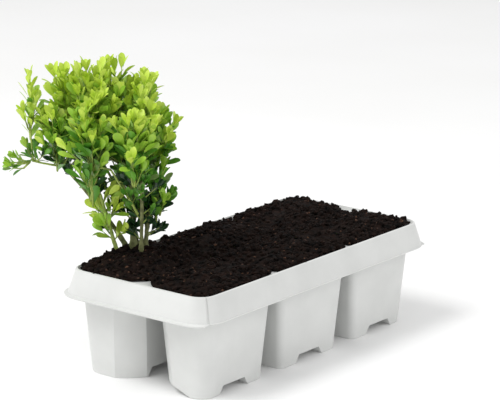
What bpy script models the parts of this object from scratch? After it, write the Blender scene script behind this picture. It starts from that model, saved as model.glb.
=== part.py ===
"""Young Japanese holly in a six cell nursery tray, as closed solids in metres.

The tray's long side runs along X. The holly stands in one end cell, and its parts are
set out across, away and up as seen from the corner of the tray, then turned by VIEW_TURN.
"""

import math

import bmesh
import bpy
from mathutils import Matrix, Vector, noise
from mathutils.bvhtree import BVHTree

# Tray: outside sizes, cell grid and wall
COLUMNS = 3
ROWS = 2
PITCH_X = 0.091
PITCH_Y = 0.0656
TRAY_HEIGHT = 0.079
WALL = 0.001
GAP = 0.0003
CELL_PLAY = 0.0003
RIM_HALF_LENGTH = 0.136
RIM_HALF_WIDTH = 0.0625
RIM_RADIUS = 0.0135
RIM_EDGE = 0.0012
RIM_INNER = 0.0024
DECK_DROP = 0.0025
SKIRT_DROP = 0.0196
SKIRT_FLARE = 0.0085
LIP_WIDTH = 0.003

# Cells: half sizes along X and Y at the deck and at the feet, and how far each corner is cut
TOP_HALF = (0.0415, 0.0262)
FOOT_HALF = (0.0342, 0.0218)
MIDDLE_CUT = 0.0163
SIDE_CUT = 0.0056
END_CUT = 0.0115
ROUND_BULGE = 0.41
FLAT_BULGE = 0.12
FOOT_RISE = 0.006
CHANNEL_HALF = 0.0125
CHANNEL_FOOT = 0.0165
DENTED_CELL = (0, 0)

# Soil: floor of the plug, its play in the cell, and the crumbs heaped over the webs
SOIL_FLOOR = FOOT_RISE + WALL + GAP
SOIL_PLAY = WALL + GAP
SOIL_SPILL = 0.0008
SOIL_EDGE = 0.0012
SOIL_MOUND = 0.004
PLANTED_MOUND = 0.008
PLANTED_CELL = (0, 1)
SOIL_UNEVEN = 0.0006

# Plant: where its foot stands in the tray, and how far its own axes are turned
DECK = TRAY_HEIGHT - DECK_DROP
ROOT = Vector((-0.084, 0.041, DECK + SOIL_SPILL + SOIL_EDGE + PLANTED_MOUND + GAP))
VIEW_TURN = math.radians(-52.7)
LIMB_SIDES = 7
LIMB_RINGS = 6
FLARE = 1.35
MASS_DETAIL = 2
MASS_UNEVEN = 0.16
MASS_SPREAD = 1.2
MASS_GAP = 0.0006

# Stems from the soil: foot, bend and tip (across, away, up), radius at foot and at tip
STEMS = {
    "stem_main": ((-0.3, 0.0, 0.0), (-0.2, 0.1, 4.5), (-1.1, 0.2, 10.5), 0.24, 0.12),
    "stem_young": ((-1.5, -0.6, 0.0), (-2.1, -0.8, 2.4), (-3.3, -1.2, 6.6), 0.15, 0.09),
    "stem_arching": ((-0.9, 0.7, 0.0), (-3.0, 0.6, 3.6), (-6.9, 0.2, 7.6), 0.17, 0.10),
    "stem_right": ((0.6, 0.3, 0.0), (0.8, 0.6, 3.0), (1.3, 0.9, 8.0), 0.16, 0.10),
    "stem_back": ((-0.1, 1.1, 0.0), (-0.6, 2.0, 4.0), (-1.8, 3.2, 8.6), 0.16, 0.10),
    "stem_front": ((0.3, -0.7, 0.0), (0.5, -1.5, 3.4), (0.4, -3.0, 8.0), 0.15, 0.10),
}

# Boughs from a stem: carrying stem, share of its length, bend, tip, radius at each end
BOUGHS = {
    "bough_left_tip": ("stem_arching", 0.82, (-6.6, -0.4, 6.3), (-8.6, -0.6, 6.8), 0.08, 0.05),
    "bough_centre_left": ("stem_main", 0.42, (-1.6, -0.3, 6.4), (-3.0, -0.4, 10.2), 0.11, 0.07),
    "bough_left": ("stem_main", 0.30, (-2.0, 1.0, 5.2), (-4.9, 0.9, 10.4), 0.11, 0.07),
    "bough_right_top": ("stem_main", 0.50, (0.2, 0.0, 6.8), (0.5, 0.1, 10.4), 0.10, 0.06),
    "bough_right_low": ("stem_right", 0.34, (1.5, 0.0, 3.8), (1.6, -0.3, 5.0), 0.08, 0.05),
    "bough_front_left": ("stem_front", 0.40, (-0.9, -2.2, 5.0), (-2.4, -2.9, 7.6), 0.10, 0.06),
    "bough_back_right": ("stem_back", 0.40, (0.2, 2.6, 5.0), (0.4, 3.2, 8.4), 0.10, 0.06),
}

# Foliage: middle (across, away, up) and half sizes of each mass, in centimetres
MASSES = {
    "foliage_left_sprig": ((-7.8, 0.0, 10.9), (1.0, 1.0, 3.0)),
    "foliage_left_tip": ((-8.7, -0.6, 6.8), (1.0, 0.7, 0.8)),
    "foliage_left_shoulder": ((-5.7, 0.2, 8.7), (1.4, 1.9, 1.9)),
    "foliage_left_top": ((-5.1, 0.5, 11.3), (1.5, 1.8, 1.8)),
    "foliage_centre_left": ((-3.2, -0.5, 11.2), (1.5, 1.8, 2.2)),
    "foliage_top": ((-1.5, 0.7, 11.2), (1.4, 1.9, 2.1)),
    "foliage_right_top": ((0.3, 0.2, 10.5), (1.2, 1.9, 2.1)),
    "foliage_right_shoulder": ((1.3, 0.9, 8.2), (1.2, 1.8, 1.7)),
    "foliage_front_left": ((-3.0, -2.8, 8.3), (1.7, 1.5, 2.4)),
    "foliage_front": ((-0.1, -2.9, 8.4), (1.5, 1.5, 2.3)),
    "foliage_back_left": ((-3.6, 3.2, 8.9), (1.9, 1.7, 2.5)),
    "foliage_back": ((-0.4, 3.3, 8.9), (1.7, 1.6, 2.4)),
    "foliage_inside": ((-1.2, 0.0, 7.9), (1.7, 1.8, 1.7)),
    "foliage_right_low": ((1.5, -0.1, 4.7), (1.0, 1.2, 1.5)),
    "foliage_young_shoot": ((-3.2, -1.3, 5.7), (0.9, 0.9, 1.3)),
}
CENTIMETRE = 0.01

SHADES = {
    "tray": ((0.86, 0.86, 0.84, 1.0), 0.38),
    "soil": ((0.018, 0.012, 0.009, 1.0), 0.95),
    "stem": ((0.17, 0.15, 0.06, 1.0), 0.8),
    "bough": ((0.25, 0.27, 0.07, 1.0), 0.7),
    "foliage": ((0.24, 0.44, 0.05, 1.0), 0.5),
}


def clear_scene():
    for item in list(bpy.data.objects):
        bpy.data.objects.remove(item, do_unlink=True)


def plain_material(name):
    colour, roughness = SHADES[name.split("_")[0]]
    material = bpy.data.materials.new(name)
    material.use_nodes = True
    shader = material.node_tree.nodes["Principled BSDF"]
    shader.inputs["Base Color"].default_value = colour
    shader.inputs["Roughness"].default_value = roughness
    shader.inputs["Metallic"].default_value = 0.0
    return material


def add_object(name, mesh_tool, parent):
    """Turn a bmesh into a named object with its own material under the parent."""
    mesh = bpy.data.meshes.new(name)
    bmesh.ops.recalc_face_normals(mesh_tool, faces=mesh_tool.faces)
    mesh_tool.to_mesh(mesh)
    mesh_tool.free()
    item = bpy.data.objects.new(name, mesh)
    bpy.context.scene.collection.objects.link(item)
    mesh.materials.append(plain_material(name))
    item.parent = parent
    return item


def add_ring(mesh_tool, points):
    return [mesh_tool.verts.new(point) for point in points]


def bridge(mesh_tool, first, second):
    """Join two rings of the same count with a band of quads."""
    count = len(first)
    for index in range(count):
        following = (index + 1) % count
        mesh_tool.faces.new((first[index], first[following], second[following], second[index]))


def cell_centre(column, row):
    return ((column - (COLUMNS - 1) / 2) * PITCH_X, (row - (ROWS - 1) / 2) * PITCH_Y)


def corner_cuts(column, row):
    """Cut and bulge of a cell's corners, anticlockwise from the corner at low X and low Y."""
    corners = []
    for side_x, side_y in ((-1, -1), (1, -1), (1, 1), (-1, 1)):
        at_middle = (side_y > 0) == (row == 0)
        at_end = (column == 0 and side_x < 0) or (column == COLUMNS - 1 and side_x > 0)
        if at_middle:
            corners.append((MIDDLE_CUT, FLAT_BULGE))
        elif at_end:
            corners.append((END_CUT, ROUND_BULGE))
        else:
            corners.append((SIDE_CUT, ROUND_BULGE))
    return corners


def cell_outline(centre, reach, cuts, height):
    """Ring of 20 points: three at each corner and four along each of the long faces.

    reach is the distance from the centre to low X, high X, low Y and high Y.
    """
    low_x, high_x, low_y, high_y = reach
    signs = ((-1, -1), (1, -1), (1, 1), (-1, 1))
    corners = []
    for (side_x, side_y), (cut, bulge) in zip(signs, cuts):
        edge_x = centre[0] + side_x * (low_x if side_x < 0 else high_x)
        edge_y = centre[1] + side_y * (low_y if side_y < 0 else high_y)
        sharp = Vector((edge_x, edge_y, height))
        on_end = sharp - Vector((0, side_y * cut, 0))
        on_side = sharp - Vector((side_x * cut, 0, 0))
        middle = (on_end + on_side) / 2
        middle += (sharp - middle) * bulge
        ordered = [on_end, middle, on_side]
        corners.append(ordered if side_x * side_y > 0 else ordered[::-1])
    stops = (-CHANNEL_FOOT, -CHANNEL_HALF, CHANNEL_HALF, CHANNEL_FOOT)
    front = [Vector((centre[0] + stop, centre[1] - low_y, height)) for stop in stops]
    back = [Vector((centre[0] - stop, centre[1] + high_y, height)) for stop in stops]
    return corners[0] + front + corners[1] + corners[2] + back + corners[3]


def section_reach(height):
    share = height / TRAY_HEIGHT
    half_x = FOOT_HALF[0] + (TOP_HALF[0] - FOOT_HALF[0]) * share
    half_y = FOOT_HALF[1] + (TOP_HALF[1] - FOOT_HALF[1]) * share
    return half_x, half_y


def rim_outline(grow, height, steps=4):
    """Rounded rectangle round the whole tray, grown outwards from the rim's own size."""
    radius = RIM_RADIUS + grow
    points = []
    for quarter, (side_x, side_y) in enumerate(((-1, -1), (1, -1), (1, 1), (-1, 1))):
        middle_x = side_x * (RIM_HALF_LENGTH - RIM_RADIUS)
        middle_y = side_y * (RIM_HALF_WIDTH - RIM_RADIUS)
        for step in range(steps + 1):
            angle = math.pi + (quarter + step / steps) * math.pi / 2
            points.append(Vector((middle_x + radius * math.cos(angle),
                                  middle_y + radius * math.sin(angle), height)))
    return points


def wall_sheet(item):
    """Give a sheet its wall, half to each side, as a closed solid."""
    solidify = item.modifiers.new("wall", "SOLIDIFY")
    solidify.thickness = WALL
    solidify.offset = 0.0


def build_rim(parent):
    """Thin sheet with the deck, its six openings and the flared skirt."""
    tool = bmesh.new()
    sheet_top = TRAY_HEIGHT - WALL / 2
    skirt_end = TRAY_HEIGHT - SKIRT_DROP
    deck_height = DECK - WALL / 2
    profile = (
        (-RIM_INNER, deck_height),
        (-RIM_EDGE, sheet_top),
        (-RIM_EDGE / 4, sheet_top - RIM_EDGE / 4),
        (0.0, sheet_top - RIM_EDGE),
        (SKIRT_FLARE - LIP_WIDTH, skirt_end + LIP_WIDTH / 2),
        (SKIRT_FLARE, skirt_end + WALL / 2),
    )
    rings = [add_ring(tool, rim_outline(grow, height)) for grow, height in profile]
    for upper, lower in zip(rings, rings[1:]):
        bridge(tool, upper, lower)
    deck_edges = [tool.edges.get((a, b)) for a, b in zip(rings[0], rings[0][1:] + rings[0][:1])]
    half_x, half_y = section_reach(DECK)
    half_x += WALL / 2 + CELL_PLAY
    half_y += WALL / 2 + CELL_PLAY
    for column in range(COLUMNS):
        for row in range(ROWS):
            centre = cell_centre(column, row)
            cuts = corner_cuts(column, row)
            reach = (half_x, half_x, half_y, half_y)
            mouth = add_ring(tool, cell_outline(centre, reach, cuts, deck_height))
            deck_edges += [tool.edges.new((a, b)) for a, b in zip(mouth, mouth[1:] + mouth[:1])]
    bmesh.ops.triangle_fill(tool, use_beauty=True, edges=deck_edges)
    wall_sheet(add_object("tray_rim", tool, parent))


def build_cell(name, column, row, parent):
    """Thin tapered cup of one cell, up to the top of the deck, on two channelled feet."""
    tool = bmesh.new()
    centre = cell_centre(column, row)
    cuts = corner_cuts(column, row)
    half_x, half_y = section_reach(DECK)
    mouth = add_ring(tool, cell_outline(centre, (half_x, half_x, half_y, half_y), cuts, DECK))
    half_x, half_y = section_reach(0.0)
    points = cell_outline(centre, (half_x, half_x, half_y, half_y), cuts, WALL / 2)
    raised = [4, 5, 14, 15]
    if (column, row) == DENTED_CELL:
        raised += [17, 18, 19]
    for index in raised:
        points[index].z += FOOT_RISE
    base = add_ring(tool, points)
    bridge(tool, mouth, base)
    for strip in ((16, 17, 18, 19, 0, 1, 2, 3), (3, 4, 15, 16), (4, 5, 14, 15), (5, 6, 13, 14),
                  (6, 7, 8, 9, 10, 11, 12, 13)):
        tool.faces.new([base[index] for index in strip])
    wall_sheet(add_object(name, tool, parent))


def spill_reach(column, row):
    """How far the loose top of the soil spreads: to the rim, or half way over a web."""
    rim_x = RIM_HALF_LENGTH - RIM_INNER - SOIL_PLAY - (COLUMNS - 1) / 2 * PITCH_X
    rim_y = RIM_HALF_WIDTH - RIM_INNER - SOIL_PLAY - (ROWS - 1) / 2 * PITCH_Y
    web_x = PITCH_X / 2 - GAP
    web_y = PITCH_Y / 2 - GAP
    return (rim_x if column == 0 else web_x, rim_x if column == COLUMNS - 1 else web_x,
            rim_y if row == 0 else web_y, rim_y if row == ROWS - 1 else web_y)


def spill_cuts(column, row):
    """The spill leaves the deck bare next to the rim and nearly meets at inner corners."""
    cuts = []
    inner = MIDDLE_CUT / 3
    for (side_x, side_y), (cut, bulge) in zip(((-1, -1), (1, -1), (1, 1), (-1, 1)),
                                              corner_cuts(column, row)):
        at_end = (column == 0 and side_x < 0) or (column == COLUMNS - 1 and side_x > 0)
        at_middle = (side_y > 0) == (row == 0)
        if at_middle and at_end:
            cuts.append((cut * 0.9, bulge))
        elif at_middle:
            cuts.append((inner, bulge))
        else:
            cuts.append((max(cut, RIM_RADIUS - RIM_INNER) if at_end else cut * 1.9, bulge))
    return cuts


def build_soil(name, column, row, parent):
    """Plug of potting soil in a cell, with its loose top mounded over the deck."""
    tool = bmesh.new()
    centre = cell_centre(column, row)
    cuts = corner_cuts(column, row)
    rings = []
    edge_height = DECK + SOIL_SPILL
    for height in (SOIL_FLOOR, edge_height):
        half_x, half_y = section_reach(min(height, DECK))
        reach = (half_x - SOIL_PLAY, half_x - SOIL_PLAY, half_y - SOIL_PLAY, half_y - SOIL_PLAY)
        rings.append(add_ring(tool, cell_outline(centre, reach, cuts, height)))
    wide = spill_reach(column, row)
    wide_cuts = spill_cuts(column, row)
    rings.append(add_ring(tool, cell_outline(centre, wide, wide_cuts, edge_height)))
    rings.append(add_ring(tool, cell_outline(centre, wide, wide_cuts, edge_height + SOIL_EDGE)))
    planted = (column, row) == PLANTED_CELL
    mound = PLANTED_MOUND if planted else SOIL_MOUND
    peak_x, peak_y = (ROOT.x, ROOT.y) if planted else centre
    middle = Vector((peak_x, peak_y, edge_height + SOIL_EDGE + mound))
    for share, rise in ((0.8, 0.45), (0.5, 0.97)):
        points = []
        for vertex in rings[3]:
            point = middle.lerp(vertex.co, share)
            uneven = SOIL_UNEVEN * (noise.noise(point * 90) - 1)
            point.z = edge_height + SOIL_EDGE + rise * mound + uneven
            points.append(point)
        rings.append(add_ring(tool, points))
    for lower, upper in zip(rings, rings[1:]):
        bridge(tool, lower, upper)
    tool.faces.new(rings[0])
    peak = tool.verts.new(middle)
    last = rings[-1]
    for first, second in zip(last, last[1:] + last[:1]):
        tool.faces.new((first, second, peak))
    return add_object(name, tool, parent)


def plant_point(values):
    """A place on the plant, given in centimetres across, away and up from its foot."""
    return Vector(values) * CENTIMETRE


def bend(start, middle, end, share):
    """Point on the smooth curve that starts, bends towards the middle point and ends."""
    return start.lerp(middle, share).lerp(middle.lerp(end, share), share)


def mass_surface(name):
    """Uneven closed surface round the mass's middle, kept clear of every other mass."""
    middle, half = MASSES[name]
    middle = Vector(middle)
    half = Vector(half)
    walls = []
    for other, (centre, size) in MASSES.items():
        if other == name:
            continue
        between = Vector(centre) - middle
        own = half.length
        share = own / (own + Vector(size).length)
        walls.append((between.normalized(), between.length * share - MASS_GAP / CENTIMETRE))
    tool = bmesh.new()
    bmesh.ops.create_icosphere(tool, subdivisions=MASS_DETAIL, radius=1.0)
    for vertex in tool.verts:
        direction = vertex.co.normalized()
        spread = Vector((half.x * MASS_SPREAD, half.y * MASS_SPREAD, half.z))
        scaled = Vector([part * size for part, size in zip(direction, spread)])
        uneven = 1 + MASS_UNEVEN * noise.noise(direction * 2.1 + middle * 3.7)
        length = scaled.length * uneven
        toward = scaled.normalized()
        for normal, distance in walls:
            facing = toward.dot(normal)
            if facing > 0:
                length = min(length, distance / facing)
        vertex.co = (middle + toward * length) * CENTIMETRE
    return tool


def build_limb(name, path, foot_radius, tip_radius, masses, parent, flare=1.0):
    """Tapering limb along a path of three points, ended where it meets a mass."""
    start, middle, end = path
    steps = 40
    reach = 1.0
    previous = start
    for step in range(1, steps + 1):
        point = bend(start, middle, end, step / steps)
        travel = point - previous
        clear = foot_radius + MASS_GAP
        near = any(tree.find_nearest(point, clear)[0] is not None for tree in masses)
        if near or any(tree.ray_cast(previous, travel, travel.length)[0] for tree in masses):
            reach = max(0.12, (step - 1) / steps)
            break
        previous = point
    tool = bmesh.new()
    rings = []
    for index in range(LIMB_RINGS):
        share = reach * index / (LIMB_RINGS - 1)
        centre = bend(start, middle, end, share)
        ahead = bend(start, middle, end, share + 0.01) - centre
        flat = index == 0 and flare > 1.0
        frame = Vector((0, 0, 1)) if flat else ahead.normalized()
        across = frame.cross(Vector((0, 1, 0.3))).normalized()
        up = frame.cross(across).normalized()
        radius = foot_radius + (tip_radius - foot_radius) * share
        if index == 0:
            radius *= flare
        ring = []
        for side in range(LIMB_SIDES):
            angle = side * math.tau / LIMB_SIDES
            ring.append(centre + (across * math.cos(angle) + up * math.sin(angle)) * radius)
        rings.append(add_ring(tool, ring))
    for lower, upper in zip(rings, rings[1:]):
        bridge(tool, lower, upper)
    tool.faces.new(rings[0])
    tool.faces.new(rings[-1])
    return add_object(name, tool, parent)


def build_plant(parent):
    """Stems from the soil, boughs from the stems and the masses of foliage they carry."""
    trees = []
    for name in MASSES:
        tool = mass_surface(name)
        trees.append(BVHTree.FromBMesh(tool))
        add_object(name, tool, parent)
    for name, (foot, middle, tip, foot_radius, tip_radius) in STEMS.items():
        path = [plant_point(foot), plant_point(middle), plant_point(tip)]
        build_limb(name, path, foot_radius * CENTIMETRE, tip_radius * CENTIMETRE, trees, parent,
                   FLARE)
    for name, (stem, share, middle, tip, foot_radius, tip_radius) in BOUGHS.items():
        foot, stem_middle, stem_tip, stem_foot, stem_end = STEMS[stem]
        joint = bend(plant_point(foot), plant_point(stem_middle), plant_point(stem_tip), share)
        beyond = bend(plant_point(foot), plant_point(stem_middle), plant_point(stem_tip), share + 0.05)
        stem_line = (beyond - joint).normalized()
        heading = plant_point(middle) - joint
        sideways = (heading - stem_line * heading.dot(stem_line)).normalized()
        stem_radius = (stem_foot + (stem_end - stem_foot) * share) * CENTIMETRE
        stand_off = stem_radius + foot_radius * CENTIMETRE + 2 * GAP
        path = [joint + sideways * stand_off, plant_point(middle), plant_point(tip)]
        build_limb(name, path, foot_radius * CENTIMETRE, tip_radius * CENTIMETRE, trees, parent)


def centre_on_floor(items, assembly):
    """Move the whole assembly so that its box stands centred on the origin."""
    bpy.context.view_layer.update()
    corners = [item.matrix_world @ vertex.co for item in items for vertex in item.data.vertices]
    middle_x = (min(c.x for c in corners) + max(c.x for c in corners)) / 2
    middle_y = (min(c.y for c in corners) + max(c.y for c in corners)) / 2
    assembly.location = (-middle_x, -middle_y, 0.0)


def main():
    clear_scene()
    assembly = bpy.data.objects.new("assembly", None)
    plant = bpy.data.objects.new("plant", None)
    for empty in (assembly, plant):
        bpy.context.scene.collection.objects.link(empty)
    plant.parent = assembly
    plant.matrix_local = Matrix.Translation(ROOT) @ Matrix.Rotation(VIEW_TURN, 4, "Z")
    build_rim(assembly)
    for column in range(COLUMNS):
        for row in range(ROWS):
            number = column * ROWS + row + 1
            build_cell(f"tray_cell_{number}", column, row, assembly)
            build_soil(f"soil_{number}", column, row, assembly)
    build_plant(plant)
    items = [item for item in bpy.data.objects if item.type == "MESH"]
    centre_on_floor(items, assembly)
    bpy.context.view_layer.update()


main()
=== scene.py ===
import math
import random

import bmesh
import bpy
from mathutils import Matrix, Vector, noise
from mathutils.bvhtree import BVHTree


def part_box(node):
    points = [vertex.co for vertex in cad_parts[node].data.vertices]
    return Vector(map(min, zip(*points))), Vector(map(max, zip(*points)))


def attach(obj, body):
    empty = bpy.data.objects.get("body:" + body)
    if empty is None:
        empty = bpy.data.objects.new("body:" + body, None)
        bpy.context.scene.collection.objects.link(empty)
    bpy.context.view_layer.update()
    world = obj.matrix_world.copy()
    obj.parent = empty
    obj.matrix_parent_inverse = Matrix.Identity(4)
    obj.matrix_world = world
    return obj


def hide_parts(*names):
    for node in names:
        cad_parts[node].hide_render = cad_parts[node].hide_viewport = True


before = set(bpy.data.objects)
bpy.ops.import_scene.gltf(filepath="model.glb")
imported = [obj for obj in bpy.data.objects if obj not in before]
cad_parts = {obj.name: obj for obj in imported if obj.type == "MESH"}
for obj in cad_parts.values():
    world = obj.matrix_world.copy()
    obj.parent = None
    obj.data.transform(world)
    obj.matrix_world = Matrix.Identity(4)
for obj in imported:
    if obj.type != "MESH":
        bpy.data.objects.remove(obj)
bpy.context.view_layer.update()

# Tray
# One white sheet of thermoformed polystyrene, satin, about a millimetre thick. The deck, the
# flared skirt and the six cells are drawn from the same sheet, so every edge is softly rounded.
COLUMNS = 3
ROWS = 2
CELL_PITCH = (0.091, 0.0656)
SHEET = 0.001
DECK_DROP = 0.0025
RIM_HALF = (0.136, 0.0625)
RIM_RADIUS = 0.0135
RIM_STEPS = 8
# How far each ring of the skirt lies outside the rim's own size, and below the rim's top
SKIRT_RINGS = ((-0.0024, 0.0030), (-0.0012, 0.0005), (-0.0003, 0.0008), (0.0, 0.0017),
               (0.0055, 0.0181), (0.0085, 0.0191))
# The lip is trimmed along one long side, from a crease in the skirt at the corner
CREASE_FROM_RING = 2
CREASE_POINT = 5
CREASE_DEPTH = 0.0014
CREASE_PINCH = 0.6
LONG_SIDE_END = 13
LIP_TRIM = 0.8
CELL_TOP_HALF = (0.0415, 0.0262)
CELL_FOOT_HALF = (0.0342, 0.0218)
# Length cut off each corner of a cell, and how far the cut bulges back towards the corner
MIDDLE_CORNER = (0.0163, 0.24)
END_CORNER = (0.0115, 0.82)
SIDE_CORNER = (0.0056, 0.82)
CORNER_STEPS = 6
# Where the foot's channel starts, is full height, and ends, along each long face of a cell
CHANNEL_STOPS = (-0.0165, -0.0125, 0.0125, 0.0165)
CHANNEL_RISE = 0.006
# The cell whose outer foot is dented as high as its channel
DENTED_CELL = (0, 0)
FLAT_TURN = math.radians(1)
EDGE_TURN = math.radians(16)
EDGE_ROUND = 0.0009
EDGE_STEPS = 3
SHEET_CLOUD = 0.03
SHEET_RIPPLE = 0.006
# Where one tone gives way to the other in the noise, how finely each noise is broken up, and
# how deep the relief is as a share of its grain
TONE_SPAN = (0.35, 0.65)
PATCH_DETAIL = 3.0
GRAIN_DETAIL = 4.0
GRAIN_DEPTH = 0.25


def linear(code):
    """An sRGB hex colour as the linear RGBA that a shader takes."""
    channels = [int(code[index:index + 2], 16) / 255 for index in (1, 3, 5)]
    lifted = [c / 12.92 if c <= 0.04045 else ((c + 0.055) / 1.055) ** 2.4 for c in channels]
    return (*lifted, 1.0)


def add_node(tree, kind, settings=None, links=None):
    """Add one node with its input values or attributes, and link its inputs by name."""
    node = tree.nodes.new(kind)
    for key, value in (settings or {}).items():
        if key in node.inputs:
            node.inputs[key].default_value = value
        else:
            setattr(node, key, value)
    for key, socket in (links or {}).items():
        tree.links.new(socket, node.inputs[key])
    return node


def two_tone(name, first, second, patch, roughness, relief, grain, shine=0.5):
    """Two colours mixed by noise, over a fine relief. Patch and grain are sizes in metres."""
    material = bpy.data.materials.new(name)
    material.use_nodes = True
    tree = material.node_tree
    shader = tree.nodes["Principled BSDF"]
    shader.inputs["Roughness"].default_value = roughness
    shader.inputs["Specular IOR Level"].default_value = shine
    place = add_node(tree, "ShaderNodeTexCoord").outputs["Object"]
    clouds = add_node(tree, "ShaderNodeTexNoise", {"Scale": 1 / patch, "Detail": PATCH_DETAIL},
                      {"Vector": place})
    ramp = add_node(tree, "ShaderNodeValToRGB", links={"Fac": clouds.outputs["Fac"]})
    for stop, position, code in zip(ramp.color_ramp.elements, TONE_SPAN, (first, second)):
        stop.position = position
        stop.color = linear(code)
    tree.links.new(ramp.outputs["Color"], shader.inputs["Base Color"])
    grit = add_node(tree, "ShaderNodeTexNoise", {"Scale": 1 / grain, "Detail": GRAIN_DETAIL},
                    {"Vector": place})
    bump = add_node(tree, "ShaderNodeBump",
                    {"Strength": relief, "Distance": grain * GRAIN_DEPTH},
                    {"Height": grit.outputs["Fac"]})
    tree.links.new(bump.outputs["Normal"], shader.inputs["Normal"])
    return material


def place_piece(piece, material, nodes):
    """Show a piece in its material, riding on the body in place of its nodes."""
    bpy.context.scene.collection.objects.link(piece)
    piece.data.materials.clear()
    piece.data.materials.append(material)
    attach(piece, "root")
    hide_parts(*nodes)


# Vacuum forming leaves a satin skin with a faint ripple, and no grain that the eye can see.
polystyrene = two_tone("thermoformed white polystyrene", "#d4d5d3", "#dbdcda",
                       patch=SHEET_CLOUD, roughness=0.34, relief=0.05, grain=SHEET_RIPPLE)
TRAY_NODES = [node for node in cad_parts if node.startswith("tray_")]
rim_low, rim_high = (Vector(corner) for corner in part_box("tray_rim"))
tray_middle = Vector(((rim_low.x + rim_high.x) / 2, (rim_low.y + rim_high.y) / 2, 0))
RIM_TOP = rim_high.z


def add_ring(shape, points):
    """Add a ring of vertices at points given from the tray's middle."""
    return [shape.verts.new(tray_middle + point) for point in points]


def bridge(shape, first, second):
    """Join two rings of the same count with a band of faces."""
    for a, b, c, d in zip(first, first[1:] + first[:1], second[1:] + second[:1], second):
        shape.faces.new((a, b, c, d))


def ring_edges(shape, ring):
    """The edges of a closed ring of vertices, added where there are none yet."""
    pairs = zip(ring, ring[1:] + ring[:1])
    return [shape.edges.get(pair) or shape.edges.new(pair) for pair in pairs]


def rim_ring(grow, height):
    """Rounded rectangle round the tray, anticlockwise from its corner at low X and low Y."""
    radius = RIM_RADIUS + grow
    points = []
    for quarter, (side_x, side_y) in enumerate(((-1, -1), (1, -1), (1, 1), (-1, 1))):
        middle_x = side_x * (RIM_HALF[0] - RIM_RADIUS)
        middle_y = side_y * (RIM_HALF[1] - RIM_RADIUS)
        for step in range(RIM_STEPS + 1):
            angle = math.pi + (quarter + step / RIM_STEPS) * math.pi / 2
            points.append(Vector((middle_x + radius * math.cos(angle),
                                  middle_y + radius * math.sin(angle), height)))
    return points


def skirt_rings():
    """Rings of the skirt from the deck out to the lip, creased and trimmed."""
    rings = []
    for level, (grow, drop) in enumerate(SKIRT_RINGS):
        points = rim_ring(grow, RIM_TOP - drop)
        if level == len(SKIRT_RINGS) - 1:
            for index in range(CREASE_POINT, LONG_SIDE_END):
                points[index] = points[index].lerp(rings[-1][index], LIP_TRIM)
        elif level >= CREASE_FROM_RING:
            for index in (CREASE_POINT - 1, CREASE_POINT + 1):
                points[index] = points[index].lerp(points[CREASE_POINT], CREASE_PINCH)
            outward = Vector((*points[CREASE_POINT].xy.normalized(), 0))
            points[CREASE_POINT] -= outward * CREASE_DEPTH
        rings.append(points)
    return rings


def cell_ring(column, row, height):
    """Outline of a cell at a height: a curve at each corner, four stops on each long face."""
    share = height / RIM_TOP
    half = [foot + (top - foot) * share for foot, top in zip(CELL_FOOT_HALF, CELL_TOP_HALF)]
    centre = Vector(((column - (COLUMNS - 1) / 2) * CELL_PITCH[0],
                     (row - (ROWS - 1) / 2) * CELL_PITCH[1], height))
    corners = []
    for side_x, side_y in ((-1, -1), (1, -1), (1, 1), (-1, 1)):
        at_middle = (side_y > 0) == (row == 0)
        at_end = side_x == (1 if column == COLUMNS - 1 else -1 if column == 0 else 0)
        cut, bulge = MIDDLE_CORNER if at_middle else END_CORNER if at_end else SIDE_CORNER
        sharp = centre + Vector((side_x * half[0], side_y * half[1], 0))
        on_end = sharp - Vector((0, side_y * cut, 0))
        on_side = sharp - Vector((side_x * cut, 0, 0))
        pull = on_end.lerp(on_side, 0.5).lerp(sharp, bulge)
        curve = []
        for step in range(CORNER_STEPS + 1):
            part = step / CORNER_STEPS
            curve.append(on_end.lerp(pull, part).lerp(pull.lerp(on_side, part), part))
        corners.append(curve if side_x * side_y > 0 else curve[::-1])
    front = [centre + Vector((stop, -half[1], 0)) for stop in CHANNEL_STOPS]
    back = [centre + Vector((-stop, half[1], 0)) for stop in CHANNEL_STOPS]
    return corners[0] + front + corners[1] + corners[2] + back + corners[3]


def add_cell(shape, column, row):
    """Walls and channelled foot of one cell. Returns the edges of its mouth."""
    last = len(CHANNEL_STOPS) - 1
    front = CORNER_STEPS + 1
    back = front * 3 + len(CHANNEL_STOPS)
    points = cell_ring(column, row, SHEET / 2)
    for index in (front + 1, front + last - 1, back + 1, back + last - 1):
        points[index].z += CHANNEL_RISE
    if (column, row) == DENTED_CELL:
        for index in range(back + last + 1, len(points)):
            points[index].z += CHANNEL_RISE
    foot = add_ring(shape, points)
    mouth = add_ring(shape, cell_ring(column, row, RIM_TOP - DECK_DROP - SHEET / 2))
    bridge(shape, mouth, foot)
    for step in range(last):
        shape.faces.new((foot[front + step], foot[front + step + 1],
                         foot[back + last - 1 - step], foot[back + last - step]))
    shape.faces.new(foot[back + last:] + foot[:front + 1])
    shape.faces.new(foot[front + last:back + 1])
    return ring_edges(shape, mouth)


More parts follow.
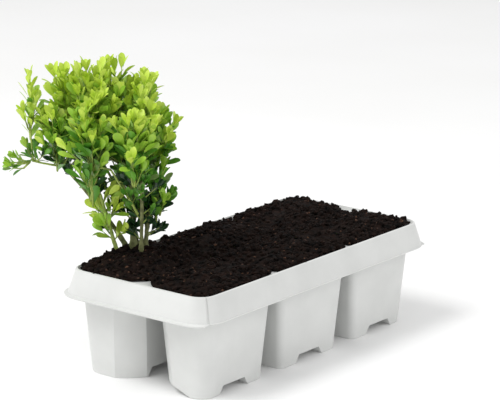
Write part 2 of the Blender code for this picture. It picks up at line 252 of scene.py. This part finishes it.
shape = bmesh.new()
skirt = [add_ring(shape, points) for points in skirt_rings()]
for upper, lower in zip(skirt, skirt[1:]):
    bridge(shape, upper, lower)
deck_edges = ring_edges(shape, skirt[0])
for column in range(COLUMNS):
    for row in range(ROWS):
        deck_edges += add_cell(shape, column, row)
bmesh.ops.triangle_fill(shape, use_beauty=True, edges=deck_edges)
bmesh.ops.recalc_face_normals(shape, faces=shape.faces)
bmesh.ops.dissolve_limit(shape, angle_limit=FLAT_TURN, verts=shape.verts, edges=shape.edges)
tray = bpy.data.objects.new("tray_moulding", bpy.data.meshes.new("tray_moulding"))
shape.to_mesh(tray.data)
shape.free()
tray.data.polygons.foreach_set("use_smooth", [True] * len(tray.data.polygons))
wall = tray.modifiers.new("sheet thickness", "SOLIDIFY")
wall.thickness = SHEET
wall.offset = 0.0
rounding = tray.modifiers.new("rounded edges", "BEVEL")
rounding.width = EDGE_ROUND
rounding.segments = EDGE_STEPS
rounding.limit_method = "ANGLE"
rounding.angle_limit = EDGE_TURN
rounding.harden_normals = True
place_piece(tray, polystyrene, TRAY_NODES)

# Potting soil
# Moist black peat with a few reddish bark bits, filled loosely into each cell and heaped over
# the webs. Its top is a rough mesh, and loose crumbs of both kinds lie on it.
SOIL_NODES = [f"soil_{number}" for number in range(1, COLUMNS * ROWS + 1)]
SOIL_LEVEL = RIM_TOP - 0.0018
SOIL_CUTS = 9
SOIL_WELD = 0.00001
# Clods are about 4 mm across and grit 1.6 mm. Only what lies above the level is roughened
SOIL_CLOD = 1 / 240
SOIL_GRIT = 1 / 640
GRIT_HEIGHT = 0.8
SOIL_ROUGHNESS = 0.0021
ROUGH_ABOVE = 0.001
FACING_UP = 0.5
CRUMB_SEED = 11
CRUMBS_PER_CELL = 900
CRUMB_SIZES = {"soil_crumbs": (0.0006, 0.0026), "soil_bark_bits": (0.0004, 0.0014)}
CRUMB_STRETCH = ((0.8, 2.0), (0.6, 1.2), (0.5, 1.0))
BARK_BIT_SHARE = 0.13
# Wet peat is near black and has no shine. Its grit of about 1 mm is drawn at its real size.
peat = two_tone("moist peat", "#060403", "#1f130e",
                patch=0.005, roughness=0.93, relief=0.9, grain=0.0012, shine=0.15)
# Bark bits are dull and reddish, with a grain of about a millimetre.
bark_chips = two_tone("reddish bark chips", "#2b1711", "#56361f",
                      patch=0.003, roughness=0.85, relief=0.6, grain=0.001)


def add_piece(name, vertices, faces, material, slot, nodes, smooth=True):
    """Make a piece from lists of vertices and faces."""
    mesh = bpy.data.meshes.new(name)
    mesh.from_pydata(vertices, [], faces)
    mesh.update()
    mesh.polygons.foreach_set("use_smooth", [smooth] * len(mesh.polygons))
    place_piece(bpy.data.objects.new(name, mesh), material, nodes)


def rough_soil(node):
    """The soil solid of one cell, its top cut fine and roughened."""
    lump = bmesh.new()
    lump.from_mesh(bpy.data.objects[node].data)
    bmesh.ops.remove_doubles(lump, verts=lump.verts, dist=SOIL_WELD)
    top_edges = [edge for edge in lump.edges if min(v.co.z for v in edge.verts) > SOIL_LEVEL]
    bmesh.ops.subdivide_edges(lump, edges=top_edges, cuts=SOIL_CUTS, use_grid_fill=True)
    for vertex in lump.verts:
        if vertex.co.z > SOIL_LEVEL + ROUGH_ABOVE:
            clod = noise.noise(vertex.co / SOIL_CLOD)
            grit = GRIT_HEIGHT * noise.noise(vertex.co / SOIL_GRIT)
            vertex.co.z += SOIL_ROUGHNESS * (clod + grit)
    lump.normal_update()
    lump.verts.index_update()
    return lump


def add_crumb(spot, sizes, points, faces):
    """Append one small angular crumb, turned and stretched at random."""
    start = len(points)
    size = dice.uniform(*sizes)
    turn = Matrix.Rotation(dice.uniform(0, math.tau), 3, Vector((dice.random(), dice.random(), 1)))
    stretch = [dice.uniform(*span) for span in CRUMB_STRETCH]
    for point in ball_points:
        points.append(spot + turn @ Vector([size * p * s for p, s in zip(point, stretch)]))
    faces += [[start + index for index in face] for face in ball_faces]


ball = bmesh.new()
bmesh.ops.create_icosphere(ball, subdivisions=1, radius=1.0)
ball_points = [vertex.co.copy() for vertex in ball.verts]
ball_faces = [[vertex.index for vertex in face.verts] for face in ball.faces]
ball.free()
dice = random.Random(CRUMB_SEED)
soil_vertices, soil_faces = [], []
crumbs = {name: ([], []) for name in CRUMB_SIZES}
for node in SOIL_NODES:
    lump = rough_soil(node)
    offset = len(soil_vertices)
    soil_vertices += [vertex.co.copy() for vertex in lump.verts]
    soil_faces += [[offset + vertex.index for vertex in face.verts] for face in lump.faces]
    upper = [face.calc_center_median() for face in lump.faces
             if face.normal.z > FACING_UP and face.calc_center_median().z > SOIL_LEVEL]
    for count in range(CRUMBS_PER_CELL):
        spot = dice.choice(upper)
        kind = "soil_bark_bits" if dice.random() < BARK_BIT_SHARE else "soil_crumbs"
        add_crumb(spot, CRUMB_SIZES[kind], *crumbs[kind])
    lump.free()
add_piece("soil_surface", soil_vertices, soil_faces, peat, "potting_soil", SOIL_NODES)
for name, (points, faces) in crumbs.items():
    material = bark_chips if name == "soil_bark_bits" else peat
    add_piece(name, points, faces, material, "potting_soil", SOIL_NODES, smooth=False)

# Stems and boughs
# The living wood: grey green and finely fissured at the foot, smooth and yellow green when
# young. Each limb follows the axis of its solid, and the stems are sunk a little in the soil.
LIMB_SIDES = 7
LIMB_RINGS = 6
BARK_SIDES = 12
BARK_STEPS = 34
# How far the bark's ridges stand out, as a share of the radius, and how fast they change round
# the limb, from ring to ring, and from place to place
BARK_RELIEF = 0.28
RIDGES_ROUND = 3
RIDGES_ALONG = 0.35
RIDGES_APART = 50
# A direction that no limb follows, from which each ring's first side is measured
RING_START = Vector((0.3, 0.9, 0.2))
# How far a limb that starts near the soil is sunk, and how much wider it is there
FOOT_REACH = 0.015
SUNK_FOOT = 0.003
SUNK_SWELL = 1.1
# Bark is matt, with fissures about a millimetre apart. Young bark still has a waxy skin.
old_bark = two_tone("fissured grey green bark", "#5c5f38", "#8c9160",
                    patch=0.004, roughness=0.8, relief=0.7, grain=0.0011)
green_bark = two_tone("young green bark", "#7f9440", "#a6b85a",
                      patch=0.006, roughness=0.55, relief=0.35, grain=0.0009)


def limb_axis(node):
    """Centres and radii of a limb's rings, from its foot to its tip."""
    spots = {tuple(round(value, 6) for value in vertex.co)
             for vertex in bpy.data.objects[node].data.vertices}
    spots = [Vector(spot) for spot in spots]
    lowest = min(spots, key=lambda spot: spot.z)
    farthest = max(spots, key=lambda spot: (spot - lowest).length)
    line = (farthest - lowest).normalized()
    spots.sort(key=lambda spot: spot.dot(line))
    rings = []
    for index in range(LIMB_RINGS):
        ring = spots[index * LIMB_SIDES:(index + 1) * LIMB_SIDES]
        centre = sum(ring, Vector()) / len(ring)
        rings.append((centre, sum((spot - centre).length for spot in ring) / len(ring)))
    return rings


def along(rings, share):
    """Centre and radius at a share of the axis, smoothly between its rings."""
    place = min(max(share, 0.0), 1.0) * (len(rings) - 1)
    index = min(int(place), len(rings) - 2)
    part = place - index
    before = rings[max(index - 1, 0)][0]
    first, second = rings[index][0], rings[index + 1][0]
    after = rings[min(index + 2, len(rings) - 1)][0]
    centre = 0.5 * (2 * first + (second - before) * part
                    + (2 * before - 5 * first + 4 * second - after) * part ** 2
                    + (3 * first - before - 3 * second + after) * part ** 3)
    return centre, rings[index][1] + (rings[index + 1][1] - rings[index][1]) * part


def add_tube(points, faces, path, radii, sides, relief=0.0):
    """Append a closed tapering tube along a path."""
    start = len(points)
    for index, centre in enumerate(path):
        ahead = path[min(index + 1, len(path) - 1)] - path[max(index - 1, 0)]
        across = ahead.cross(RING_START).normalized()
        up = ahead.cross(across).normalized()
        for side in range(sides):
            angle = side * math.tau / sides
            spot = across * math.cos(angle) + up * math.sin(angle)
            place = Vector((spot.x * RIDGES_ROUND, spot.y * RIDGES_ROUND, index * RIDGES_ALONG))
            ridge = noise.noise(place + centre * RIDGES_APART)
            points.append(centre + spot * radii[index] * (1 + relief * ridge))
    for index in range(len(path) - 1):
        low = start + index * sides
        for side in range(sides):
            following = (side + 1) % sides
            faces.append((low + side, low + following, low + sides + following, low + sides + side))
    faces.append([start + side for side in range(sides)][::-1])
    faces.append([start + (len(path) - 1) * sides + side for side in range(sides)])


limbs = {node: limb_axis(node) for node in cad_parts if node.startswith(("stem_", "bough_"))}
old_stems = [node for node in limbs if node.startswith("stem") and node != "stem_young"]
boughs = [node for node in limbs if node.startswith("bough")]
limb_kinds = {
    "stem_bark": (old_bark, old_stems),
    "bough_bark": (green_bark, boughs),
    "young_bark": (green_bark, ["stem_young"]),
}
for name, (material, nodes) in limb_kinds.items():
    points, faces = [], []
    for node in nodes:
        stations = [along(limbs[node], step / BARK_STEPS) for step in range(BARK_STEPS + 1)]
        path = [centre for centre, radius in stations]
        radii = [radius for centre, radius in stations]
        if path[0].z < RIM_TOP + FOOT_REACH:
            path = [path[0] - Vector((0, 0, SUNK_FOOT))] + path
            radii = [radii[0] * SUNK_SWELL] + radii
        add_tube(points, faces, path, radii, BARK_SIDES, BARK_RELIEF)
    add_piece(name, points, faces, material, "bark", nodes)

# Foliage
# Evergreen leaves, most of them 9 to 18 mm long, leathery and glossy, rounded towards the tip,
# set one by one round upright green shoots. Their tone is partly age and partly painted light:
# lime at the lit tips, and dark in painted shade inside the shrub.
FOLIAGE = [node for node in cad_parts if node.startswith("foliage_")]
LEAF_LENGTH = 0.0168
# Outline of a leaf from its stalk: the share of its length, and of its greatest half width
LEAF_ROWS = ((0.0, 0.07), (0.1, 0.10), (0.26, 0.46), (0.5, 0.88),
             (0.72, 1.0), (0.88, 0.78), (0.97, 0.42), (1.0, 0.12))
LEAF_HALF_WIDTH = 0.205
LEAF_CUP = 0.24
LEAF_CURLS = (-0.22, 0.04)
LEAF_SIZES = (0.78, 1.1)
LEAF_WIDTHS = (0.88, 1.12)
LEAF_PITCH = 0.0042
LEAF_STAND_OFF = 0.0005
# Leaves open less from the twig in the rosette at a shoot's tip, and all of them turn up a little
GOLDEN_TURN = math.radians(137.5)
ROSETTE = 4
LEAST_SPIRAL = 3
ROSETTE_OPENING = (0.15, 0.42)
SPIRAL_OPENING = (0.5, 0.9)
LEAF_LIFT = 0.22
# Size of the newest leaves, and how fast they grow with each metre back from the tip
NEW_LEAF_SIZE = 0.7
GROWTH_PER_METRE = 22
# How much painted light a leaf's tone gets by its height and its reach in the crown, and how
# much it darkens, partly with age and partly as painted shade, by its place on the shoot
CROWN_REACH = 0.062
MOST_REACH = 1.2
LIGHT_BY_HEIGHT = 0.85
LIGHT_BY_REACH = 0.32
SHADE_PER_METRE = 17
TINT_SPREAD = 0.16
YOUNG_LIGHT = 0.78
FRESH_LIGHT = 0.52
GROWN_LIGHT = 0.22
PALE_SHARE = 0.12
# A mass is joined to a limb at one of these steps along it, in the limb's upper part
FORK_STEPS = 12
FORK_FROM = 5
# A shoot bends up from its branch, and each branch leaves the hub of its mass
TWIG_SIDES = 5
SHOOT_STEPS = 6
SHOOT_BEND = 0.18
SHOOT_RADII = (0.00065, 0.00028)
LEAVES_FROM = 0.12
BRANCH_RADII = (0.0009, 0.0008, 0.0007)
HUB_SIDES = 6
HUB_RISE = 0.15
HUB_NEAR = 0.2
HUB_ARCH = 0.002
BRANCH_ENDS = (0.1, 0.5)
BRANCH_BEND = 0.4
BRANCH_BEND_SPREAD = 0.2
# Cubic metres of a mass to each shoot, and how far inside the mass its place is at least
SHOOT_SPACE = 0.95e-6
SHOOT_INSET = 0.001
LEAST_SHOOTS = 4
SHOOT_TRIES = 4000
SHOOT_RISE = 0.010
SHOOT_SHORT = 0.005
SHOOT_LEAN = 8
SHOOT_SAG = 0.2
# In the lower half of a mass, most shoots stand far out and few near its middle
INNER_SHARE = 0.25
# Masses on thin twigs: size of their leaves, most shoots, and how upright the shoots are
SLIGHT_MASSES = {"foliage_left_sprig": (0.85, 7, 1.0), "foliage_left_tip": (0.7, 4, 0.0)}
SLIGHT_PINCH = 0.55
# Leaders are the shoots that stand above a mass, with their top leaves this far over it
LEADERS = 4
LEADER_RISE = 0.009
LEADER_TOP_LEAVES = 0.6
LEADER_SEARCH = 0.02
LEADER_PINCH = 0.35
LEADER_START = 0.3
LEADER_SAG = 0.1
LEADER_LEAVES_FROM = 0.35
# Short side shoots stand along the stems and boughs
STEM_SIDE_SHOOTS = 12
BOUGH_SIDE_SHOOTS = 5
SIDE_PLACES = (0.15, 0.95)
SIDE_RISES = (0.5, 1.2)
SIDE_LENGTHS = (0.007, 0.014)
SIDE_SAG = 0.3
SIDE_LEAVES_FROM = 0.3
# Leaf size and tint of side shoots on old wood and on the young stem
OLD_SIDE_LEAVES = (0.75, -0.15)
YOUNG_SIDE_LEAVES = (1.0, 0.5)
CROWN_SEED = 2024
# A waxy cuticle over the green gives each leaf a soft gloss, a little duller when new.
# The tones run by age and by painted light and shade, from lit lime tips to dark shaded leaves
# inside
LEAF_TONES = {
    "leaves_young_and_lit": ("new lime leaves in painted light", "#bcd83c", "#d3e866", 0.42),
    "leaves_fresh": ("fresh green leaves", "#8cba34", "#abcf4a", 0.38),
    "leaves_grown": ("grown green leaves", "#4f8a2b", "#6ba238", 0.32),
    "leaves_pale": ("pale leaf undersides", "#7d9a55", "#94ab6a", 0.55),
    "leaves_dark": ("old dark leaves in painted shade", "#1b3a1c", "#2c5229", 0.34),
}
leaf_lists = {name: ([], []) for name in LEAF_TONES}
twig_points, twig_faces = [], []
dice = random.Random(CROWN_SEED)


def add_leaf(kind, base, direction, upward, length, width, curl):
    """Append one cupped leaf blade: rows of three points along its midrib."""
    points, faces = leaf_lists[kind]
    start = len(points)
    forward = direction.normalized()
    side = forward.cross(upward).normalized()
    normal = side.cross(forward).normalized()
    for share, wide in LEAF_ROWS:
        middle = base + forward * length * share + normal * curl * length * share * share
        reach = side * wide * width
        lift = normal * wide * width * LEAF_CUP
        points += [middle - reach + lift, middle, middle + reach + lift]
    for row in range(len(LEAF_ROWS) - 1):
        low = start + row * 3
        faces.append((low, low + 1, low + 4, low + 3))
        faces.append((low + 1, low + 2, low + 5, low + 4))


def leaf_kind(tip, from_tip, tint):
    """Tone of a leaf by its place: lime on lit shoot tips, dark in painted shade low down and
    inside.
    """
    height = (tip.z - crown_low) / (crown_high - crown_low)
    outward = min(MOST_REACH, (tip - crown_middle).length / CROWN_REACH)
    # The score paints light into high, far-out leaves, and painted shade and age into low, inner
    # ones
    light = height * LIGHT_BY_HEIGHT + outward * LIGHT_BY_REACH - from_tip * SHADE_PER_METRE + tint
    if light > YOUNG_LIGHT:
        return "leaves_young_and_lit"
    if light > FRESH_LIGHT:
        return "leaves_fresh"
    if light > GROWN_LIGHT:
        return "leaves_pale" if dice.random() < PALE_SHARE else "leaves_grown"
    return "leaves_dark"


def grow_shoot(start, end, lean, leaves_from=LEAVES_FROM, size=1.0, tint=0.0):
    """Append a twig that bends up from start to end, its spiral of leaves and its rosette."""
    length = (end - start).length
    middle = start.lerp(end, 0.5) + lean * length * SHOOT_BEND
    path = []
    for step in range(SHOOT_STEPS + 1):
        share = step / SHOOT_STEPS
        path.append(start.lerp(middle, share).lerp(middle.lerp(end, share), share))
    foot, tip_radius = SHOOT_RADII
    radii = [foot + (tip_radius - foot) * step / SHOOT_STEPS for step in range(SHOOT_STEPS + 1)]
    add_tube(twig_points, twig_faces, path, radii, TWIG_SIDES)
    tint += dice.uniform(-TINT_SPREAD, TINT_SPREAD)
    spiral = max(LEAST_SPIRAL, int(length * (1 - leaves_from) / LEAF_PITCH))
    turn = dice.uniform(0, math.tau)
    for index in range(spiral + ROSETTE):
        in_rosette = index >= spiral
        share = min(leaves_from + (1 - leaves_from) * index / spiral, 1.0)
        base = start.lerp(middle, share).lerp(middle.lerp(end, share), share)
        axis = (middle.lerp(end, share) - start.lerp(middle, share)).normalized()
        turn += GOLDEN_TURN
        out = Matrix.Rotation(turn, 3, axis) @ axis.orthogonal().normalized()
        from_tip = (1 - share) * length
        opening = dice.uniform(*(ROSETTE_OPENING if in_rosette else SPIRAL_OPENING))
        direction = axis * math.cos(opening) + out * math.sin(opening) + Vector((0, 0, LEAF_LIFT))
        grown = min(1.0, NEW_LEAF_SIZE + from_tip * GROWTH_PER_METRE)
        if in_rosette:
            grown = NEW_LEAF_SIZE
        blade = LEAF_LENGTH * size * grown * dice.uniform(*LEAF_SIZES)
        kind = leaf_kind(base + direction.normalized() * blade, from_tip, tint)
        width = blade * LEAF_HALF_WIDTH * dice.uniform(*LEAF_WIDTHS)
        curl = dice.uniform(*LEAF_CURLS)
        add_leaf(kind, base + out * LEAF_STAND_OFF, direction, axis, blade, width, curl)


def grow_leaders(tree, hub, low, high):
    """Grow the shoots that stand out above a mass, in its middle part."""
    middle = (low + high) / 2
    for leader in range(LEADERS):
        spot = Vector((dice.uniform(low.x, high.x), dice.uniform(low.y, high.y),
                       high.z + LEADER_SEARCH))
        spot = spot.lerp(Vector((middle.x, middle.y, spot.z)), LEADER_PINCH)
        surface = tree.ray_cast(spot, Vector((0, 0, -1)))[0]
        if surface is not None:
            tip = surface + Vector((0, 0, LEADER_RISE - LEAF_LENGTH * LEADER_TOP_LEAVES))
            start = hub.lerp(tip, LEADER_START)
            branch = [hub, hub.lerp(start, 0.5), start]
            add_tube(twig_points, twig_faces, branch, BRANCH_RADII, TWIG_SIDES)
            grow_shoot(start, tip, Vector((0, 0, -LEADER_SAG)), LEADER_LEAVES_FROM)


def fill_mass(node):
    """Grow a mass from its nearest limb: a hub, branches and shoots with tips in the mass."""
    solid = bmesh.new()
    solid.from_mesh(bpy.data.objects[node].data)
    tree = BVHTree.FromBMesh(solid)
    low, high = (Vector(corner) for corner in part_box(node))
    middle = (low + high) / 2
    below = Vector((middle.x, middle.y, low.z))
    size, most, upright = SLIGHT_MASSES.get(node, (1.0, SHOOT_TRIES, 1.0))
    anchor = min(limb_spots, key=lambda spot: (spot - below).length)
    hub = anchor.lerp(below.lerp(middle, HUB_RISE), HUB_NEAR + (1 - HUB_NEAR) * upright)
    bend = anchor.lerp(hub, 0.5) + Vector((0, 0, HUB_ARCH))
    add_tube(twig_points, twig_faces, [anchor, bend, hub], BRANCH_RADII, HUB_SIDES)
    wanted = min(max(LEAST_SHOOTS, int(abs(solid.calc_volume()) / SHOOT_SPACE)), most)
    solid.free()
    grown = 0
    for attempt in range(SHOOT_TRIES):
        if grown == wanted:
            break
        spot = Vector([dice.uniform(low[axis], high[axis]) for axis in range(3)])
        surface, normal, index, distance = tree.find_nearest(spot)
        if (spot - surface).dot(normal) > 0 or distance < SHOOT_INSET:
            continue
        reach = (spot - middle).length / ((high - low).length / 2)
        if spot.z < middle.z and dice.random() > reach + INNER_SHARE:
            continue
        if node in SLIGHT_MASSES:
            spot = spot.lerp(Vector((middle.x, middle.y, spot.z)), SLIGHT_PINCH)
        tip = spot - Vector((0, 0, SHOOT_SHORT))
        start = hub.lerp(tip, dice.uniform(*BRANCH_ENDS))
        start.z = min(start.z, tip.z - SHOOT_RISE * upright)
        outward = Vector((tip.x - hub.x, tip.y - hub.y, 0))
        lean = outward * SHOOT_LEAN - Vector((0, 0, SHOOT_SAG))
        bend = hub.lerp(start, BRANCH_BEND + BRANCH_BEND_SPREAD * dice.random())
        add_tube(twig_points, twig_faces, [hub, bend, start], BRANCH_RADII, TWIG_SIDES)
        grow_shoot(start, tip, lean, size=size)
        grown += 1
    if node not in SLIGHT_MASSES:
        grow_leaders(tree, hub, low, high)


def grow_side_shoots(node, rings):
    """Grow short leafy side shoots along one limb, large and lime on the young stem."""
    size, tint = YOUNG_SIDE_LEAVES if node == "stem_young" else OLD_SIDE_LEAVES
    for count in range(STEM_SIDE_SHOOTS if node.startswith("stem") else BOUGH_SIDE_SHOOTS):
        base = along(rings, dice.uniform(*SIDE_PLACES))[0]
        around = dice.uniform(0, math.tau)
        rise = dice.uniform(*SIDE_RISES)
        out = Vector((math.cos(around), math.sin(around), rise)).normalized()
        end = base + out * dice.uniform(*SIDE_LENGTHS)
        grow_shoot(base, end, Vector((0, 0, -SIDE_SAG)), SIDE_LEAVES_FROM, size, tint)


boxes = [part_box(node) for node in FOLIAGE]
crown_low = min(low[2] for low, high in boxes)
crown_high = max(high[2] for low, high in boxes)
crown_middle = sum(((Vector(low) + Vector(high)) / 2 for low, high in boxes), Vector()) / len(boxes)
limb_spots = [along(rings, step / FORK_STEPS)[0] for rings in limbs.values()
              for step in range(FORK_FROM, FORK_STEPS + 1)]
for node in FOLIAGE:
    fill_mass(node)
for node, rings in limbs.items():
    grow_side_shoots(node, rings)
for name, (title, first, second, roughness) in LEAF_TONES.items():
    material = two_tone(title, first, second,
                        patch=0.012, roughness=roughness, relief=0.15, grain=0.002)
    add_piece(name, *leaf_lists[name], material, "leaves", FOLIAGE)
add_piece("twigs", twig_points, twig_faces, green_bark, "bark", FOLIAGE)

# Floor and light
# A plain pale studio floor, with a large soft key light high at the left and a weak fill.
FLOOR_HALF = 6
WORLD_STRENGTH = 0.76
AIM_HEIGHT = 0.12
# Each light's place from the aim and its width, in metres, and its power in watts
LIGHTS = {
    "key": (Vector((-1.0, 0.5, 1.6)), 0.9, 20),
    "fill": (Vector((0.7, -1.6, 0.9)), 1.2, 4),
}
# Matt white paint, nearly even, with no relief.
painted_board = two_tone("pale painted board", "#fbfbfa", "#ffffff",
                         patch=0.5, roughness=0.9, relief=0.0, grain=0.01)
sheet = bpy.data.meshes.new("floor")
floor_corners = [(side_x * FLOOR_HALF, side_y * FLOOR_HALF, 0)
                 for side_x, side_y in ((-1, -1), (1, -1), (1, 1), (-1, 1))]
sheet.from_pydata(floor_corners, [], [(0, 1, 2, 3)])
sheet.materials.append(painted_board)
floor = bpy.data.objects.new("floor", sheet)
bpy.context.scene.collection.objects.link(floor)
world = bpy.data.worlds.new("studio")
bpy.context.scene.world = world
world.use_nodes = True
world.node_tree.nodes["Background"].inputs["Color"].default_value = (1.0, 1.0, 1.0, 1.0)
world.node_tree.nodes["Background"].inputs["Strength"].default_value = WORLD_STRENGTH
bpy.context.scene.view_settings.view_transform = "Standard"
aim = tray_middle + Vector((0, 0, AIM_HEIGHT))
for name, (away, size, power) in LIGHTS.items():
    light = bpy.data.lights.new(name, "AREA")
    light.size = size
    light.energy = power
    lamp = bpy.data.objects.new(name, light)
    bpy.context.scene.collection.objects.link(lamp)
    lamp.location = aim + away
    lamp.rotation_euler = (-away).to_track_quat("-Z", "Y").to_euler()

# Camera
# It stands about 1.8 metres off one corner of the tray, a little above it, with a long lens.
CAMERA_YAW = math.radians(52.72)
CAMERA_PITCH = math.radians(14.66)
CAMERA_ROLL = math.radians(0.63)
CAMERA_LENS = 175.2
SENSOR_WIDTH = 36
EYE = Vector((tray_middle.x - 1.3978, tray_middle.y - 1.0624, 0.5719))
forward = Vector((math.sin(CAMERA_YAW) * math.cos(CAMERA_PITCH),
                  math.cos(CAMERA_YAW) * math.cos(CAMERA_PITCH), -math.sin(CAMERA_PITCH)))
level = Vector((math.cos(CAMERA_YAW), -math.sin(CAMERA_YAW), 0))
upright = level.cross(forward)
right = level * math.cos(CAMERA_ROLL) + upright * math.sin(CAMERA_ROLL)
up = upright * math.cos(CAMERA_ROLL) - level * math.sin(CAMERA_ROLL)
lens = bpy.data.cameras.new("camera")
lens.sensor_width = SENSOR_WIDTH
lens.lens = CAMERA_LENS
camera = bpy.data.objects.new("camera", lens)
bpy.context.scene.collection.objects.link(camera)
camera.matrix_world = Matrix((
    (right.x, up.x, -forward.x, EYE.x),
    (right.y, up.y, -forward.y, EYE.y),
    (right.z, up.z, -forward.z, EYE.z),
    (0, 0, 0, 1)))
bpy.context.scene.camera = camera
